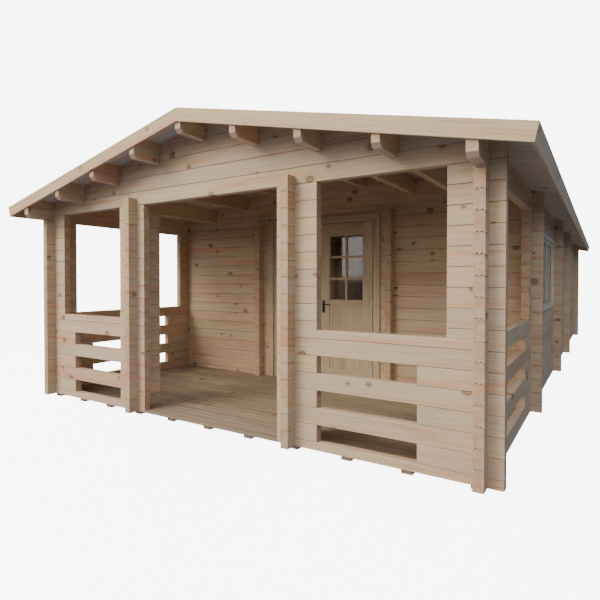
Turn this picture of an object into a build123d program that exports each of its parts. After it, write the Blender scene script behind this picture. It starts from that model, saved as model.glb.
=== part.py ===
"""Log cabin of machine-milled square logs, with a covered veranda behind its gable front.

Millimetres, +Z up. The front faces -Y, the ridge runs along Y, and the origin is on the
ground at the middle of the plan. Logs along X have their joints half a course off the logs
along Y, because every second log of a crossing wall locks into the one below.
"""
from build123d import *
from math import cos, radians, sin, tan
import os

# Logs and the plan
plan_width = 5020.0          # between the centre lines of the two side walls
plan_length = 10830.0        # over the outer faces of the front and the rear wall
log_thick = 75.0
course = 140.0               # height of one log
log_groove = 5.0             # chamfer along each edge of a log
log_end = 105.0              # how far a log runs past the wall that it crosses
post_log_inside = 230.0      # the veranda posts' cross logs reach further inside

# Ground frame and floors
joist_count = 11
joist_width = 90.0
joist_height = 40.0
joist_setback = 30.0         # joist ends behind the outer faces of the front and rear walls
joist_inset = 25.0           # outermost joists behind the outer faces of the side walls
deck_thick = 26.0

# Walls across the plan, from the outer face of the front wall
veranda_depth = 2200.0       # to the outer face of the wall behind the veranda
cross_wall_1 = 4910.0        # log ends that show on the side walls
cross_wall_2 = 7155.0

# Heights counted in courses above the bottom of the walls
front_sill_courses = 7.0
front_head_courses = 15.5
side_sill_courses = 7.0
side_head_courses = 15.0
post_log_courses = 16.0
front_first_rail = 0.5       # top of the lowest balustrade log
side_first_rail = 1.0
rail_courses = 1.0           # each balustrade log, and each gap between two

# Openings of the veranda front, from the middle
entrance_half = 845.0
post_log_at = 990.0          # centre line of the cross logs on each post
post_outer = 1237.0
front_jamb = 2275.0
front_slot_end = 2068.0

# Openings of the veranda sides
side_near_jamb = 283.0       # from the outer face of the front wall
side_slot_near = 508.0
side_far_pier = 170.0        # from the opening to the wall behind the veranda
side_slot_far_pier = 421.0

# Roof
roof_pitch = 12.46
eave_log_depth = 219.0       # top log of a side wall, at its outer face
eave_end_lift = 20.0         # its ends, past the log ends below it, are cut this much higher
roof_board_thick = 20.0
eave_overhang = 330.0        # past the side walls, level
roof_overhang = 340.0        # past the front and the rear wall
fascia_thick = 20.0
fascia_depth = 120.0
fascia_joint = 1.0
purlin_width = 65.0
purlin_depth = 195.0
purlins_each_side = 3
purlin_bevel_rise = 33.0
purlin_bevel_run = 33.0

# Double door in the wall behind the veranda
door_half = 748.0            # from the meeting gap's middle to the hinge edge of a leaf
meeting_gap = 9.0            # the leaves swing past each other's edge with 5 mm to spare
door_hang_gap = 7.0          # leaf to jamb
door_jamb_width = 45.0
door_head_gap = 5.0
door_head_rise = 2128.0      # top of the leaves above the bottom of the walls
threshold_height = 20.0
threshold_gap = 5.0
leaf_thick = 44.0
door_trim_width = 80.0
door_trim_thick = 20.0
door_trim_reveal = 16.0      # step from the jamb's inner face to the trim's edge
stile_width = 128.0
top_rail = 155.0
glass_height = 850.0
lock_rail = 80.0
bottom_rail = 180.0
panel_recess = 10.0
glass_thick = 5.0

# Door furniture
hinge_barrel_radius = 6.5
hinge_pin_radius = 3.5
hinge_knuckle = 45.0
hinge_pin_play = 0.1         # pin in its knuckle
hinge_gap = 0.4              # between the two knuckles, and off the faces beside them
hinge_plate_thick = 3.0
hinge_plate_width = 25.0
hinge_end_inset = 230.0
handle_rise = 1070.0         # spindle above the bottom of the walls
handle_backset = 42.0        # spindle from the meeting edge
handle_plate_width = 40.0
handle_plate_height = 160.0
handle_plate_drop = 112.0    # lower end of the plate below the spindle
handle_plate_thick = 4.0
spindle_radius = 5.0
spindle_play = 0.1           # in the handle plates
spindle_hole = 8.0           # radius of the hole through the leaf
lever_length = 115.0
lever_thick = 14.0
lever_reach = 50.0

# Windows in the side walls
window_near = 3100.0         # from the outer face of the front wall
window_length = 1550.0
window_sill_rise = 1000.0
window_height = 970.0
window_frame_width = 50.0
window_proud = 20.0
window_frame_back = 60.0     # how far the frame reaches into the wall
sash_width = 35.0
window_glass_back = 22.0     # the pane's outer face behind the wall's outer face

# Reach of a cutting shape past what it cuts, and the least difference between two heights
cut_reach = 500.0
least = 0.001

# Derived levels and lines
wall_base = joist_height
deck_top = wall_base + deck_thick
front_y = -plan_length / 2
rear_y = plan_length / 2
half = log_thick / 2
side_in = plan_width / 2 - half
side_out = plan_width / 2 + half
end_out = side_out + log_end
back_wall_y = front_y + veranda_depth
roof_half_span = side_out + eave_overhang
side_far_jamb = back_wall_y - side_far_pier
side_slot_far = back_wall_y - side_slot_far_pier
joist_spacing = (2 * (side_out - joist_inset) - joist_width) / (joist_count - 1)
slope = tan(radians(roof_pitch))


def level(courses):
    """Height of a course line above the ground."""
    return wall_base + courses * course


eave_log_bottom = level(side_head_courses)
front_head = level(front_head_courses)
underside_ridge = eave_log_bottom + eave_log_depth + side_out * slope
ridge_top = underside_ridge + roof_board_thick / cos(radians(roof_pitch))
board_front = front_y - roof_overhang + fascia_thick
board_rear = rear_y + roof_overhang - fascia_thick


def box(x0, x1, y0, y1, z0, z1):
    """Block between two corners."""
    size = (x1 - x0, y1 - y0, z1 - z0)
    centre = ((x0 + x1) / 2, (y0 + y1) / 2, (z0 + z1) / 2)
    return Pos(*centre) * Box(*size)


def prism(points, direction):
    """Straight prism on a closed outline, given as points in space."""
    face = Face(Wire.make_polygon([Vector(*p) for p in points], close=True))
    return Solid.extrude(face, Vector(*direction))


def on_joint(z, first):
    """Whether the height z is a joint between two logs, counted from the joint at first."""
    return abs(z - first - round((z - first) / course) * course) < least


def log_face(z0, z1, phase):
    """Heights and insets up one face of a log wall, with a chamfer at each log's edges."""
    first = wall_base + phase * course
    points = [(z0, 0.0)]
    if on_joint(z0, first):
        points = [(z0, log_groove), (z0 + log_groove, 0.0)]
    index = 0
    while first + index * course < z1 - log_groove:
        joint = first + index * course
        if joint > z0 + log_groove:
            points += [(joint - log_groove, 0.0), (joint, log_groove), (joint + log_groove, 0.0)]
        index += 1
    if on_joint(z1, first):
        points += [(z1 - log_groove, 0.0), (z1, log_groove)]
    else:
        points += [(z1, 0.0)]
    return points


def logs_along_x(x0, x1, y0, z0, z1):
    """Stack of logs along X, with its outer face at y0."""
    face = log_face(z0, z1, 0.5)
    outline = [(x0, y0 + inset, z) for z, inset in face]
    outline += [(x0, y0 + log_thick - inset, z) for z, inset in reversed(face)]
    return prism(outline, (x1 - x0, 0, 0))


def logs_along_y(y0, y1, x0, z0, z1):
    """Stack of logs along Y, with its lower X face at x0."""
    face = log_face(z0, z1, 1.0)
    outline = [(x0 + inset, y0, z) for z, inset in face]
    outline += [(x0 + log_thick - inset, y0, z) for z, inset in reversed(face)]
    return prism(outline, (0, y1 - y0, 0))


def under_roof(y0, y1, low):
    """All the space under the roof boards, from the height low upwards."""
    reach = roof_half_span + cut_reach
    edge = underside_ridge - reach * slope
    outline = [(-reach, y0, low), (reach, y0, low), (reach, y0, edge),
               (0, y0, underside_ridge), (-reach, y0, edge)]
    return prism(outline, (0, y1 - y0, 0))


def mirrored(shape):
    """The same shape on the other side of the ridge line."""
    return mirror(shape, about=Plane.YZ)


os.makedirs("parts", exist_ok=True)


def write(name, shapes):
    """Writes one node, which holds one solid or several that stand apart."""
    solids = []
    for shape in shapes if isinstance(shapes, list) else [shapes]:
        solids += shape.solids()
    node = solids[0] if len(solids) == 1 else Compound(children=solids)
    export_step(node, f"parts/{name}.step")


def write_mirrored(name, right_shapes):
    """Writes one node of the right-hand pieces and their mirror images."""
    write(name, right_shapes + [mirrored(s) for s in right_shapes])


def write_pair(name, right_shapes):
    """Writes a right-hand node and its mirror image as two nodes."""
    shapes = right_shapes if isinstance(right_shapes, list) else [right_shapes]
    write(f"{name}_right", shapes)
    write(f"{name}_left", [mirrored(s) for s in shapes])


def bevelled_end(x, width, bottom, y_end, towards):
    """Wedge that bevels the underside of a timber's end."""
    inner = y_end + towards * purlin_bevel_run
    outline = [(x - width, y_end, bottom), (x - width, inner, bottom),
               (x - width, y_end, bottom + purlin_bevel_rise)]
    if towards < 0:
        outline.reverse()
    return prism(outline, (2 * width, 0, 0))


def underside(x):
    """Height of the roof boards' underside."""
    return underside_ridge - abs(x) * slope


def roof_timber(x, width, bottom):
    """Timber along the ridge direction that carries the boards, with its top cut to the slope."""
    x0 = x - width / 2
    x1 = x + width / 2
    outline = [(x0, bottom), (x1, bottom), (x1, underside(x1)), (x0, underside(x0))]
    if x0 < 0 < x1:
        outline.insert(3, (0, underside_ridge))
    timber = prism([(px, board_front, pz) for px, pz in outline], (0, board_rear - board_front, 0))
    return timber - [bevelled_end(x, width, bottom, board_front, 1),
                     bevelled_end(x, width, bottom, board_rear, -1)]


# Roof timbers
purlin_pitch = plan_width / 2 / (purlins_each_side + 1)
purlin_places = [n * purlin_pitch for n in range(-purlins_each_side, purlins_each_side + 1)]
purlins = [roof_timber(x, purlin_width, underside(x) - purlin_depth) for x in purlin_places]


def eave_log():
    """Top log of the right side wall, which runs out to both gable fascias."""
    logs = logs_along_y(board_front, board_rear, side_in, eave_log_bottom, eave_log_bottom + eave_log_depth * 2)
    logs = logs & under_roof(board_front, board_rear, eave_log_bottom - course)
    x = plan_width / 2
    lifted = eave_log_bottom + eave_end_lift
    cuts = [box(x - log_thick, x + log_thick, y0, y1, eave_log_bottom, lifted)
            for y0, y1 in ((board_front, front_y - log_end), (rear_y + log_end, board_rear))]
    return logs - cuts - [bevelled_end(x, log_thick, lifted, board_front, 1),
                          bevelled_end(x, log_thick, lifted, board_rear, -1)]


def timber_notch(x, width, bottom):
    """Upright slot in a wall for a roof timber that passes through it."""
    return box(x - width / 2, x + width / 2, board_front, board_rear, bottom, ridge_top)


eave_notches = [timber_notch(x, log_thick, eave_log_bottom) for x in (-plan_width / 2, plan_width / 2)]
purlin_notches = [timber_notch(x, purlin_width, underside(x) - purlin_depth) for x in purlin_places]


def gable(y0, bottom):
    """Wall of logs from the height bottom up to the roof boards, notched over the roof timbers."""
    logs = logs_along_x(-end_out, end_out, y0, bottom, ridge_top + course)
    return (logs & under_roof(y0, y0 + log_thick, bottom - course)) - (eave_notches + purlin_notches)


# Ground frame and floors
def ground_joists():
    joists = []
    for n in range(joist_count):
        x = (n - (joist_count - 1) / 2) * joist_spacing
        joists.append(box(x - joist_width / 2, x + joist_width / 2, front_y + joist_setback,
                          rear_y - joist_setback, 0, joist_height))
    return joists


def veranda_deck():
    """Deck inside the veranda, which runs out to the front face in the entrance."""
    inner = box(-side_in, side_in, front_y + log_thick, back_wall_y, wall_base, deck_top)
    tongue = box(-entrance_half, entrance_half, front_y, front_y + log_thick, wall_base, deck_top)
    deck = inner + tongue
    for sign in (-1, 1):
        x = sign * post_log_at
        deck = deck - box(x - half, x + half, front_y, front_y + log_thick + post_log_inside, 0, front_head)
        deck = deck - box(x - half, x + half, back_wall_y - log_end, back_wall_y, 0, front_head)
    return deck


def room_floor():
    floor = box(-side_in, side_in, back_wall_y + log_thick, rear_y - log_thick, wall_base, deck_top)
    for y, inside in ((back_wall_y, 0), (front_y + cross_wall_1, 1), (front_y + cross_wall_2, 1)):
        if inside:
            for side in (-1, 1):
                x = side * (side_in - log_end / 2)
                floor = floor - box(x - log_end / 2, x + log_end / 2, y, y + log_thick, 0, front_head)
        else:
            for side in (-1, 1):
                x = side * post_log_at
                floor = floor - box(x - half, x + half, y, y + log_thick + log_end, 0, front_head)
    return floor


write("floor_joists", ground_joists())
write("veranda_deck", veranda_deck())
write("room_floor", room_floor())


# Veranda front
def front_corner():
    """Right corner of the front wall: log ends, corner and the jamb of the opening."""
    low = logs_along_x(front_slot_end, end_out, front_y, wall_base, level(front_sill_courses))
    high = logs_along_x(front_jamb, end_out, front_y, level(front_sill_courses), front_head)
    return (low + high) - eave_notches


def rail_spans(first_top, sill):
    """Course lines of the logs that a balustrade keeps when every second log is left out."""
    spans = [(0, first_top)]
    bottom = first_top + rail_courses
    while bottom < sill:
        top = bottom + rail_courses if bottom + 2 * rail_courses < sill else sill
        spans.append((bottom, top))
        bottom = top + rail_courses
    return spans


def front_rails():
    """Right balustrade of the front wall."""
    return [logs_along_x(post_outer, front_slot_end, front_y, level(a), level(b))
            for a, b in rail_spans(front_first_rail, front_sill_courses)]


def front_post():
    return logs_along_x(entrance_half, post_outer, front_y, wall_base, front_head)


def post_cross_logs():
    """Short logs that cross the right post, outside and inside the veranda."""
    x0 = post_log_at - half
    outer = logs_along_y(front_y - log_end, front_y, x0, wall_base, level(post_log_courses))
    inner = logs_along_y(front_y + log_thick, front_y + log_thick + post_log_inside, x0, wall_base,
                         level(post_log_courses))
    return [outer, inner]


write_pair("front_corner", front_corner())
write_mirrored("front_rails", front_rails())
write_pair("front_post", front_post())
write_mirrored("post_cross_logs", post_cross_logs())
write("front_gable", gable(front_y, front_head))


# Veranda sides
def side_front_pier():
    """Front log ends of the right side wall, and the wall up to the side opening."""
    ends = logs_along_y(front_y - log_end, front_y, side_in, wall_base, eave_log_bottom)
    low = logs_along_y(front_y + log_thick, front_y + side_slot_near, side_in, wall_base,
                       level(side_sill_courses))
    high = logs_along_y(front_y + log_thick, front_y + side_near_jamb, side_in,
                        level(side_sill_courses), eave_log_bottom)
    return [ends, low + high]


def side_back_pier():
    low = logs_along_y(side_slot_far, back_wall_y, side_in, wall_base, level(side_sill_courses))
    high = logs_along_y(side_far_jamb, back_wall_y, side_in, level(side_sill_courses),
                        eave_log_bottom)
    return low + high


def side_rails():
    """Right side balustrade."""
    return [logs_along_y(front_y + side_slot_near, side_slot_far, side_in, level(a), level(b))
            for a, b in rail_spans(side_first_rail, side_sill_courses)]


write_pair("veranda_side_front", side_front_pier())
write_pair("veranda_side_back", side_back_pier())
write_mirrored("veranda_side_rails", side_rails())
write_mirrored("eave_logs", [eave_log()])

# Wall behind the veranda, split beside and over the doorway
jamb_in = door_half + door_hang_gap
jamb_out = jamb_in + door_jamb_width
leaf_bottom = deck_top + threshold_height + threshold_gap
leaf_top = wall_base + door_head_rise
door_head_in = leaf_top + door_head_gap
door_head_out = door_head_in + door_jamb_width


def back_wall_side():
    return logs_along_x(jamb_out, end_out, back_wall_y, wall_base, front_head) - eave_notches


def back_wall_over_door():
    """Gable over the doorway, whose lowest log is cut for the door's head."""
    wall = gable(back_wall_y, front_head)
    return wall - box(-jamb_out, jamb_out, back_wall_y, back_wall_y + log_thick, wall_base, door_head_out)


def door_cross_logs():
    """Short logs that cross the wall on the right of the door."""
    x0 = post_log_at - half
    outer = logs_along_y(back_wall_y - log_end, back_wall_y, x0, wall_base, level(post_log_courses))
    inner = logs_along_y(back_wall_y + log_thick, back_wall_y + log_thick + log_end, x0, wall_base,
                         level(post_log_courses))
    return [outer, inner]


write_pair("back_wall", back_wall_side())
write("back_wall_gable", back_wall_over_door())
write_mirrored("door_cross_logs", door_cross_logs())

# Double door
leaf_face = back_wall_y
leaf_back = leaf_face + leaf_thick
hinge_x = (door_half + jamb_in + door_trim_reveal) / 2
hinge_y = leaf_face - hinge_barrel_radius - hinge_gap
glass_bottom = leaf_top - top_rail - glass_height
glass_top = leaf_top - top_rail
leaf_in = meeting_gap / 2


def door_frame():
    """Jambs and head in the wall, with a threshold on the floor."""
    y0 = back_wall_y
    y1 = back_wall_y + log_thick
    outer = box(-jamb_out, jamb_out, y0, y1, wall_base, door_head_out)
    inner = box(-jamb_in, jamb_in, y0, y1, deck_top + threshold_height, door_head_in)
    return outer - inner


def door_trim():
    """Flat boards round the door, on the veranda face of the wall."""
    y0 = back_wall_y - door_trim_thick
    inner_x = jamb_in + door_trim_reveal
    inner_z = door_head_in + door_trim_reveal
    outer = box(-inner_x - door_trim_width, inner_x + door_trim_width, y0, back_wall_y, deck_top,
                inner_z + door_trim_width)
    return outer - box(-inner_x, inner_x, y0, back_wall_y, deck_top, inner_z)


def door_leaf(spindle):
    """Right leaf: stiles, rails and a sunk panel, with a glazed upper half."""
    leaf = box(leaf_in, door_half, leaf_face, leaf_back, leaf_bottom, leaf_top)
    x0 = leaf_in + stile_width
    x1 = door_half - stile_width
    leaf = leaf - box(x0, x1, leaf_face, leaf_back, glass_bottom, glass_top)
    panel_top = glass_bottom - lock_rail
    panel_bottom = leaf_bottom + bottom_rail
    for y in (leaf_face, leaf_back - panel_recess):
        leaf = leaf - box(x0, x1, y, y + panel_recess, panel_bottom, panel_top)
    if spindle:
        bore = Pos(leaf_in + handle_backset, (leaf_face + leaf_back) / 2, wall_base + handle_rise)
        leaf = leaf - bore * Rot(90, 0, 0) * Cylinder(spindle_hole, leaf_thick)
    return leaf


def door_glass():
    x0 = leaf_in + stile_width
    x1 = door_half - stile_width
    y = (leaf_face + leaf_back) / 2
    return box(x0, x1, y - glass_thick / 2, y + glass_thick / 2, glass_bottom, glass_top)


write("door_frame", door_frame())
write("door_trim", door_trim())
write("door_leaf_right", door_leaf(True))
write("door_leaf_left", mirrored(door_leaf(False)))
write_pair("door_glass", door_glass())


# Hinges: a pin on the jamb carries a knuckle on the leaf
def hinge_heights():
    low = leaf_bottom + hinge_end_inset
    high = leaf_top - hinge_end_inset
    return [low, (low + high) / 2, high]


def hinge_half(z0, z1, plate_x0, plate_x1):
    """Knuckle with a flat plate that lies on the face of the jamb or the leaf."""
    knuckle = Pos(hinge_x, hinge_y, (z0 + z1) / 2) * Cylinder(hinge_barrel_radius, z1 - z0)
    plate = box(plate_x0, plate_x1, leaf_face - hinge_plate_thick, leaf_face, z0, z1)
    return knuckle + plate


def hinge_pins():
    """Jamb halves of the right leaf's hinges: knuckle, pin and a plate on the jamb."""
    halves = []
    for z in hinge_heights():
        pin = Pos(hinge_x, hinge_y, z + hinge_knuckle / 2) * Cylinder(hinge_pin_radius, hinge_knuckle)
        plate_end = jamb_in + door_trim_reveal - hinge_gap
        halves.append(hinge_half(z - hinge_knuckle, z, jamb_in, plate_end) + pin)
    return halves


def hinge_knuckles():
    """Leaf halves of the right leaf's hinges."""
    halves = []
    for z in hinge_heights():
        z0 = z + hinge_gap
        z1 = z + hinge_knuckle
        bore = Pos(hinge_x, hinge_y, (z0 + z1) / 2) * Cylinder(hinge_pin_radius + hinge_pin_play, z1 - z0)
        halves.append(hinge_half(z0, z1, door_half - hinge_plate_width, hinge_x) - bore)
    return halves


write_mirrored("hinge_pins", hinge_pins())
write_pair("hinge_knuckles", hinge_knuckles())


# Lever handle on the right leaf
def handle_plates():
    x = leaf_in + handle_backset
    z0 = wall_base + handle_rise - handle_plate_drop
    plates = []
    for y in (leaf_face - handle_plate_thick, leaf_back):
        plate = box(x - handle_plate_width / 2, x + handle_plate_width / 2, y, y + handle_plate_thick,
                    z0, z0 + handle_plate_height)
        bore = Pos(x, y + handle_plate_thick / 2, wall_base + handle_rise)
        plates.append(plate - bore * Rot(90, 0, 0) * Cylinder(spindle_radius + spindle_play, handle_plate_thick))
    return plates


def door_lever():
    """Spindle through the leaf with a lever on each side."""
    x = leaf_in + handle_backset
    z = wall_base + handle_rise
    y0 = leaf_face - lever_reach
    y1 = leaf_back + lever_reach
    lever = Pos(x, (y0 + y1) / 2, z) * Rot(90, 0, 0) * Cylinder(spindle_radius, y1 - y0)
    for y in (y0, y1 - lever_thick):
        lever = lever + box(x - lever_thick / 2, x + lever_length, y, y + lever_thick,
                            z - lever_thick / 2, z + lever_thick / 2)
    return lever


write("handle_plates", handle_plates())
write("door_lever", door_lever())


# Side walls behind the veranda
def window_hole():
    y0 = front_y + window_near
    z0 = wall_base + window_sill_rise
    return box(side_in - half, side_out + half, y0, y0 + window_length, z0, z0 + window_height)


def window_bay():
    wall = logs_along_y(back_wall_y + log_thick, front_y + cross_wall_1, side_in, wall_base, eave_log_bottom)
    return wall - window_hole()


def rear_bays():
    """Right side wall behind the first cross wall, with its log ends past the rear wall."""
    spans = [(front_y + cross_wall_1 + log_thick, front_y + cross_wall_2),
             (front_y + cross_wall_2 + log_thick, rear_y - log_thick),
             (rear_y, rear_y + log_end)]
    return [logs_along_y(a, b, side_in, wall_base, eave_log_bottom) for a, b in spans]


def cross_log_ends():
    """Logs that cross the right side wall where the cross walls meet it."""
    ends = []
    for y in (front_y + cross_wall_1, front_y + cross_wall_2):
        logs = logs_along_x(side_in - log_end, end_out, y, wall_base, underside(side_out))
        ends.append((logs & under_roof(y, y + log_thick, 0)) - eave_notches)
    return ends


def window_frame():
    y0 = front_y + window_near
    y1 = y0 + window_length
    z0 = wall_base + window_sill_rise
    z1 = z0 + window_height
    x0 = side_out - window_frame_back
    x1 = side_out + window_proud
    frame = box(x0, x1, y0, y1, z0, z1)
    w = window_frame_width
    frame = frame - box(x0, x1, y0 + w, y1 - w, z0 + w, z1 - w)
    middle = (y0 + y1) / 2
    sash_x1 = side_out - window_glass_back + glass_thick
    mullion = box(x0, sash_x1, middle - sash_width, middle + sash_width, z0 + w, z1 - w)
    return frame + mullion


def window_panes():
    y0 = front_y + window_near + window_frame_width
    y1 = y0 + window_length - 2 * window_frame_width
    z0 = wall_base + window_sill_rise + window_frame_width
    z1 = z0 + window_height - 2 * window_frame_width
    middle = (y0 + y1) / 2
    x1 = side_out - window_glass_back
    return [box(x1 - glass_thick, x1, y0, middle - sash_width, z0, z1),
            box(x1 - glass_thick, x1, middle + sash_width, y1, z0, z1)]


write_pair("window_bay", window_bay())
write_pair("rear_bays", rear_bays())
write_mirrored("cross_log_ends", cross_log_ends())
write_mirrored("window_frames", [window_frame()])
write_mirrored("window_glass", window_panes())


# Rear wall with its gable
write("rear_wall", gable(rear_y - log_thick, wall_base))


# Roof boards and fascias, drawn along the slope of the right side
def along_slope(run, drop):
    """X and Z of a point on the right slope, drop below the top of the boards."""
    pitch = radians(roof_pitch)
    return run * cos(pitch) - drop * sin(pitch), ridge_top - run * sin(pitch) - drop * cos(pitch)


slope_length = roof_half_span / cos(radians(roof_pitch))


def slope_board(run0, run1, thick, y0, y1, plumb_at=None):
    """Board on the slope; plumb_at cuts its upper end upright at that X."""
    outline = [along_slope(run0, 0), along_slope(run1, 0), along_slope(run1, thick), along_slope(run0, thick)]
    board = prism([(x, y0, z) for x, z in outline], (0, y1 - y0, 0))
    if plumb_at is not None:
        board = board & box(plumb_at, roof_half_span + cut_reach, y0, y1, 0, ridge_top + cut_reach)
    return board


def roof_boards():
    start = -roof_board_thick * 2
    return slope_board(start, slope_length - fascia_thick, roof_board_thick, board_front, board_rear, 0.0)


def gable_fascia(y0):
    return slope_board(-fascia_depth, slope_length, fascia_depth, y0, y0 + fascia_thick, fascia_joint / 2)


def eave_fascia():
    return slope_board(slope_length - fascia_thick, slope_length, fascia_depth, board_front, board_rear)


write("purlins", purlins)
write_pair("roof_boards", roof_boards())
write_mirrored("front_fascia", [gable_fascia(board_front - fascia_thick)])
write_mirrored("rear_fascia", [gable_fascia(board_rear)])
write_mirrored("eave_fascias", [eave_fascia()])
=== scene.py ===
"""Visible logs, boards, joinery and light of a log cabin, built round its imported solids.

Metres, in the frame's axes: the veranda front faces -Y, the ridge runs along Y and +Z is up.
Every timber is a closed solid of its own that carries a grain attribute (its own place along,
across and up the grain) and a tone, so that one wood material fits them all.
"""
import random
from math import cos, floor, pi, radians, sin
import bmesh
import bpy
from mathutils import Matrix, Vector


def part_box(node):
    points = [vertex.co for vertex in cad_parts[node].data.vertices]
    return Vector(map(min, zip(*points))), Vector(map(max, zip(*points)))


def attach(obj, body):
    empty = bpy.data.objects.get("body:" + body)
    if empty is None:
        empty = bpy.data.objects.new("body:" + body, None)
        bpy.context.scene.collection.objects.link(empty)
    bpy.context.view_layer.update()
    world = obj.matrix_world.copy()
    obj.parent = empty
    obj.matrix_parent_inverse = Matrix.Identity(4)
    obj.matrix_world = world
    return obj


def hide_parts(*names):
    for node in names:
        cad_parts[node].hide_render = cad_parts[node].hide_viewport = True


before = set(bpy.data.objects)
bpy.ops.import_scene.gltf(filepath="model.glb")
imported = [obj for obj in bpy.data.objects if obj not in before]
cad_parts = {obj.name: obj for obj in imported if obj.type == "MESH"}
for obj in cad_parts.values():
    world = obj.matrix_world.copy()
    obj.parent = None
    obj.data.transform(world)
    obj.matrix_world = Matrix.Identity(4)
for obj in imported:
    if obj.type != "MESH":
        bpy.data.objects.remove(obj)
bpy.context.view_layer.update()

# Lowest and highest corners of nodes of the frame
post_low, post_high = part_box("front_post_right")
corner_low, corner_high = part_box("front_corner_right")
bay_low, bay_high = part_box("window_bay_right")
back_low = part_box("back_wall_right")[0]
deck_low, deck_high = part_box("veranda_deck")
board_low, board_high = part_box("roof_boards_right")
eave_low, eave_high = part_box("eave_logs")
frame_low, frame_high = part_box("door_frame")
trim_low, trim_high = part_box("door_trim")
leaf_low, leaf_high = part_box("door_leaf_right")
pane_low, pane_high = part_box("door_glass_right")
plate_low, plate_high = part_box("handle_plates")
lever_low, lever_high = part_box("door_lever")
window_low, window_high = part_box("window_frames")
window_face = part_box("window_glass")[1].x

# Lines and levels that follow from them
front_y = post_low.y
log_thick = post_high.y - post_low.y
wall_base = post_low.z
front_head = post_high.z
entrance_half = post_low.x
post_outer = post_high.x
front_slot_end = corner_low.x
end_out = corner_high.x
side_in = bay_low.x
side_out = bay_high.x
back_wall_y = back_low.y
rear_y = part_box("rear_wall")[1].y
jamb_out = back_low.x
eave_base = bay_high.z
log_end = end_out - side_out

# Sizes of the logs and of the openings, as in the solids
course = 0.140
log_groove = 0.004
front_jamb = 2.275
sill = wall_base + 7.0 * course
side_near_jamb = front_y + 0.283
side_slot_near = front_y + 0.508
side_far_jamb = back_wall_y - 0.170
side_slot_far = back_wall_y - 0.421
post_log_x = 0.990
post_log_inside = 0.230
post_log_courses = 16
cross_walls = [front_y + 4.910, front_y + 7.155]

# Logs below the sill by number, and those left out of the balustrades
front_low_logs = range(-1, 7)
side_low_logs = range(0, 7)
front_slots = [0, 2, 4]
side_slots = [1, 3, 5]

# How far a wall's logs run into the wall that they cross
into = 0.010

# The joint between two logs, seen on their ends
joint_gap = 0.0022
cut_bevel = 0.0015
end_bevel = 0.002
tongue_height = 0.009
tongue_play = 0.001
tongue_void = 0.003
end_opening = 0.7
tongues = [(log_thick * a, log_thick * b) for a, b in ((0.20, 0.38), (0.62, 0.80))]

# Bevels along the edges of boards, and the share of one by which a board's ends are smaller
edge_bevel = 0.002
soft_bevel = 0.003
end_shrink = 0.6

# Least difference between two heights, and how near to a joint counts as on it, in half courses
least = 0.001
least_half = 0.01

# Roof
pitch = radians(12.46)
fall = sin(pitch) / cos(pitch)
ridge_top = board_high.z
roof_board_thick = 0.020
roof_board_width = 0.0956
roof_board_gap = 0.0012
ridge_gap = 0.0004
ridge_spare = 0.02
underside_ridge = ridge_top - roof_board_thick / cos(pitch)
end_cut_rise = 0.033
end_cut_run = 0.033
eave_end_lift = 0.020
purlin_width = 0.065
purlin_depth = 0.195
purlin_spare = 1.3
purlins_each_side = 3
fascia_thick = 0.020
fascia_depth = 0.120
fascia_gap = 0.0005
fascia_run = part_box("front_fascia")[1].x / cos(pitch)
eave_fascia_pieces = 3
board_run = fascia_run - fascia_thick

# Planes under the roof boards, as a point and the normal of the side that is cut away
roof_cuts = {"right": ((0, 0, underside_ridge), (sin(pitch), 0, cos(pitch))),
             "left": ((0, 0, underside_ridge), (-sin(pitch), 0, cos(pitch)))}
both_roof_cuts = [roof_cuts["right"], roof_cuts["left"]]

# Floors
joist_count = 11
joist_width = 0.090
joist_bevel = 0.006
deck_board_width = 0.095
deck_board_gap = 0.004
deck_board_play = 0.001

# Double door
trim_width = 0.080
door_jamb_in = jamb_out - 0.045
threshold_height = 0.020
bar_width = 0.030
bar_thick = 0.012
bead = 0.012
sash_rows = 3
lock_rail = 0.080
door_panel_low = 0.180
panel_boards = 4
panel_groove = 0.0012
panel_gap = 0.0004
panel_recess = 0.010
plate_bevel = 0.0012
grip_radius = 0.007
grip_bend = 0.012
grip_straight = 0.05
grip_end = 0.004

# Windows
window_frame_width = 0.050
window_frame_back = 0.060
window_pane_thick = 0.005
sash_width = 0.035
sash_thick = 0.014
sash_gap = 0.001

# How far a timber's own grain may be shifted along, across and up
grain_along = 40
grain_across = 0.03
grain_up = 0.04

sides = {"right": Matrix.Identity(4), "left": Matrix.Scale(-1, 4, (1, 0, 0))}


def level(courses):
    """Height of a course line."""
    return wall_base + courses * course


# Places of a timber: along its length, across its depth and up its height
def along_x(y0):
    return Matrix(((1, 0, 0, 0), (0, 1, 0, y0), (0, 0, 1, 0), (0, 0, 0, 1)))


def along_y(x0):
    return Matrix(((0, 1, 0, x0), (1, 0, 0, 0), (0, 0, 1, 0), (0, 0, 0, 1)))


def upright(x0, y0):
    return Matrix(((0, 1, 0, x0), (0, 0, 1, y0), (1, 0, 0, 0), (0, 0, 0, 1)))


# Along the right slope from the ridge, across along Y, and up out of the roof
down_slope = Matrix(((cos(pitch), 0, sin(pitch), 0), (0, 1, 0, 0),
                     (-sin(pitch), 0, cos(pitch), ridge_top), (0, 0, 0, 1)))

# Along Y, across down the right slope from the ridge, and up out of the roof
along_eave = Matrix(((0, cos(pitch), sin(pitch), 0), (1, 0, 0, 0),
                     (0, -sin(pitch), cos(pitch), ridge_top), (0, 0, 0, 1)))


def link_piece(name, mesh, body):
    """Object of a mesh that rides on its body."""
    piece = bpy.data.objects.new(name, mesh)
    bpy.context.scene.collection.objects.link(piece)
    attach(piece, body)
    return piece


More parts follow.
